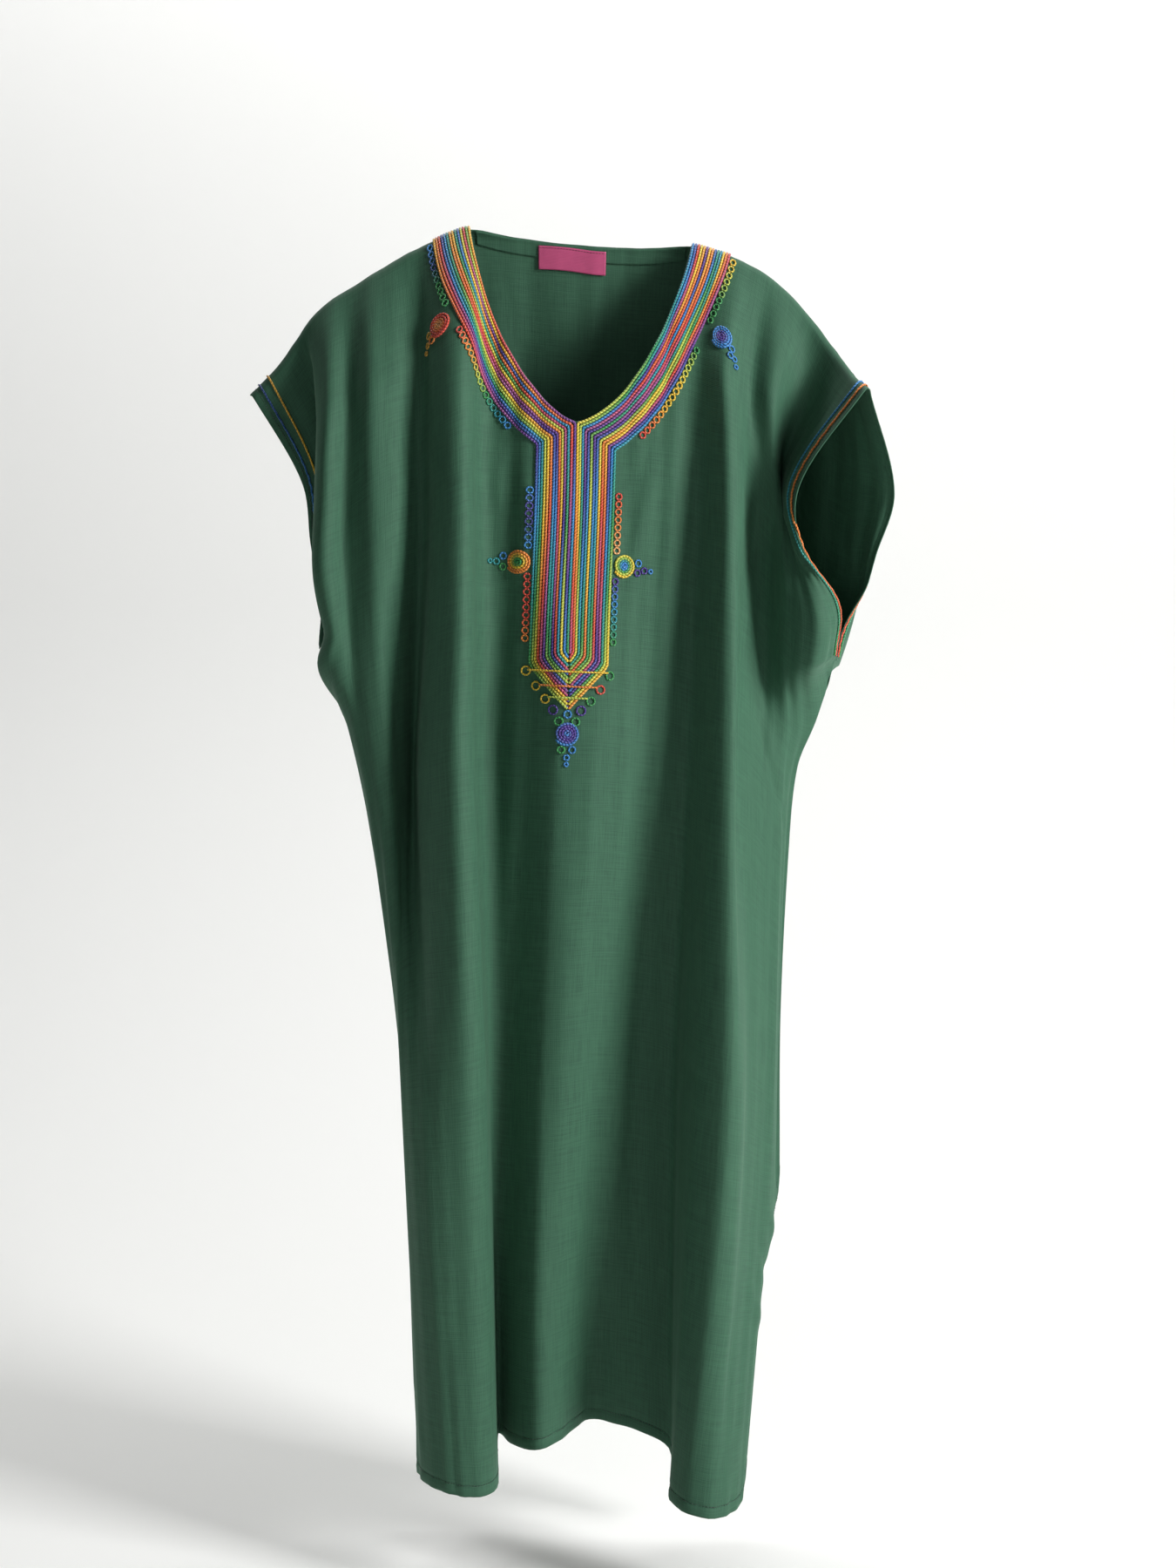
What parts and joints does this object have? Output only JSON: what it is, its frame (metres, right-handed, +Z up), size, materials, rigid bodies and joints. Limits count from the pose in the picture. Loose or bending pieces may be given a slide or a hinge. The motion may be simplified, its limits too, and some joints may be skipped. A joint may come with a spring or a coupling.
{
  "type": "moroccan kaftan",
  "caption": "Moroccan kaftan of the gandoura cut in dark green cloth, with a corded V neck and pointed placket, short wide sleeves and side slits, hanging filled out.",
  "frame": {"origin": "midway between the two neck points, at the height of the shoulder line, where the wearer's shoulders hold it", "axes": "+Z up, the front faces -Y, +X is on the right of someone who looks at the front"},
  "size_m": [0.6747, 0.2494, 1.3193],
  "materials": {
    "cloth": "plain-woven viscose, soft sheen",
    "cord": "twisted variegated rayon cord",
    "label": "woven satin, bare"
  },
  "bodies": {
    "root": {"front_panel": "cloth", "back_panel": "cloth", "neck_band_left": "cord", "neck_band_right": "cord", "placket": "cord", "medallion_neck_left": "cord", "medallion_neck_right": "cord", "medallion_placket_left": "cord", "medallion_placket_right": "cord", "medallion_pendant": "cord", "chain_neck_left_upper": "cord", "chain_neck_left_lower": "cord", "chain_placket_left_upper": "cord", "chain_placket_left_lower": "cord", "chain_neck_right_upper": "cord", "chain_neck_right_lower": "cord", "chain_placket_right_upper": "cord", "chain_placket_right_lower": "cord", "cuff_cord_left_front_1": "cord", "cuff_cord_left_front_2": "cord", "cuff_cord_left_back_1": "cord", "cuff_cord_left_back_2": "cord", "cuff_cord_right_front_1": "cord", "cuff_cord_right_front_2": "cord", "cuff_cord_right_back_1": "cord", "cuff_cord_right_back_2": "cord", "back_neck_facing": "cloth", "neck_label": "label"}
  },
  "joints": []
}
